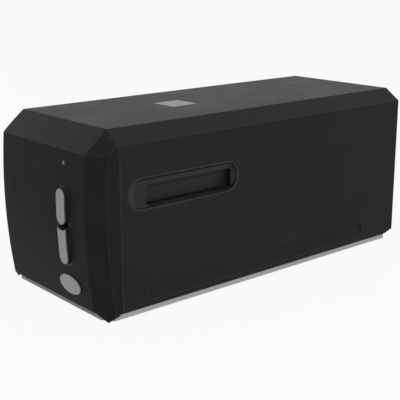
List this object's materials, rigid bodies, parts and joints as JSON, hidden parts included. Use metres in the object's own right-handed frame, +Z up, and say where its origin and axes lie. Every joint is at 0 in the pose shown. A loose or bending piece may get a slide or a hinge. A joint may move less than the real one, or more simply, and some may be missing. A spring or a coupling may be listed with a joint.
{
  "type": "film negative scanner",
  "caption": "Desktop scanner for 35 mm film: black box with a bowed front, silver scan and power buttons, and a film holder slot with dust doors through both sides.",
  "frame": {"origin": "centre of the bottom of the bounding box, on the surface the feet stand on", "axes": "+X to the right as seen from the front, -Y is the front with the buttons, +Z up"},
  "size_m": [0.12, 0.2781, 0.1185],
  "materials": {
    "housing": "fine grained black",
    "bezel": "fine grained black",
    "trim": "satin black",
    "key": "satin black",
    "key_plate": "satin silver",
    "badge": "plain",
    "tray": "light gray",
    "rubber": "matte",
    "lens": "translucent",
    "board": "green board",
    "component": "moulded",
    "steel": "ground",
    "sheet": "zinc plated",
    "guide": "matte black",
    "bush": "sintered",
    "mirror": "first surface",
    "glass": "coated",
    "barrel": "black anodised",
    "gear": "natural acetal",
    "motor": "drawn can"
  },
  "bodies": {
    "scanner": {"base_tray": "tray", "bezel_screws": "steel", "board_screws": "steel", "button_board": "board", "button_surround": "trim", "chassis_frame": "sheet", "chassis_screws": "steel", "drive_belt": "rubber", "film_track": "guide", "front_bezel": "bezel", "front_guide_rod": "steel", "home_sensor": "component", "lamp_board": "board", "lamp_diffuser": "lens", "lamp_housing": "guide", "left_door_spring": "steel", "left_slot_frame": "trim", "main_board": "board", "main_housing": "housing", "motor_bracket": "sheet", "motor_screws": "steel", "power_inlet": "component", "power_lamp": "component", "power_lamp_lens": "lens", "pulley_axles": "steel", "rear_guide_rod": "steel", "rear_panel": "housing", "rear_panel_screws": "steel", "right_door_spring": "steel", "right_slot_frame": "trim", "rubber_feet": "rubber", "stepper_motor": "motor", "tact_switches": "component", "top_badge": "badge", "tray_screws": "steel", "upper_film_guide": "guide", "usb_socket": "sheet"},
    "upper_scan_button": {"upper_scan_button": "key", "upper_button_plate": "key_plate"},
    "lower_scan_button": {"lower_scan_button": "key", "lower_button_plate": "key_plate"},
    "power_button": {"power_button": "key", "power_button_plate": "key_plate"},
    "right_door": {"right_dust_door": "trim", "right_door_pin": "steel"},
    "left_door": {"left_dust_door": "trim", "left_door_pin": "steel"},
    "carriage": {"scan_carriage": "guide", "carriage_cover": "guide", "carriage_bushes": "bush", "fold_mirror": "mirror", "lens_holder": "guide", "lens_barrel": "barrel", "lens_elements": "glass", "sensor_board": "board", "line_sensor": "component", "belt_clamp": "guide"},
    "drive_pulley": {"drive_pulley": "gear"},
    "idler_pulley": {"idler_pulley": "gear"},
    "pinion": {"motor_pinion": "bush"}
  },
  "joints": [
    {"name": "upper_scan_press", "type": "slide", "parent": "scanner", "child": "upper_scan_button", "axis": [0, 1, 0], "range_m": [0, 0.0012], "stiffness_N_per_m": 600, "springref_m": -0.001},
    {"name": "lower_scan_press", "type": "slide", "parent": "scanner", "child": "lower_scan_button", "axis": [0, 1, 0], "range_m": [0, 0.0012], "stiffness_N_per_m": 600, "springref_m": -0.001},
    {"name": "power_press", "type": "slide", "parent": "scanner", "child": "power_button", "axis": [0, 1, 0], "range_m": [0, 0.0015], "stiffness_N_per_m": 600, "springref_m": -0.001},
    {"name": "right_door_swing", "type": "hinge", "parent": "scanner", "child": "right_door", "pos_m": [0.0517, -0.06455, 0.0814], "axis": [0, 1, 0], "range_deg": [0, 80], "stiffness_Nm_per_rad": 0.002, "springref_deg": -11.46},
    {"name": "left_door_swing", "type": "hinge", "parent": "scanner", "child": "left_door", "pos_m": [-0.0517, -0.06455, 0.0814], "axis": [0, 1, 0], "range_deg": [0, 80], "stiffness_Nm_per_rad": 0.002, "springref_deg": -11.46},
    {"name": "carriage_scan", "type": "slide", "parent": "scanner", "child": "carriage", "axis": [1, 0, 0], "range_m": [0, 0.0368]},
    {"name": "drive_pulley_spin", "type": "hinge", "parent": "scanner", "child": "drive_pulley", "pos_m": [-0.041, 0.0915, 0.03], "axis": [0, 1, 0], "range_deg": [0, 315]},
    {"name": "idler_pulley_spin", "type": "hinge", "parent": "scanner", "child": "idler_pulley", "pos_m": [0.041, 0.0915, 0.03], "axis": [0, 1, 0], "range_deg": [0, 315]},
    {"name": "motor_spin", "type": "hinge", "parent": "scanner", "child": "pinion", "pos_m": [-0.0324, 0.098, 0.04229], "axis": [0, 1, 0], "range_deg": [-945, 0]}
  ],
  "couplings": [
    {"joint": "drive_pulley_spin", "follows": "carriage_scan", "rad_per_m": 149.25},
    {"joint": "idler_pulley_spin", "follows": "carriage_scan", "rad_per_m": 149.25},
    {"joint": "motor_spin", "follows": "carriage_scan", "rad_per_m": -447.76}
  ]
}
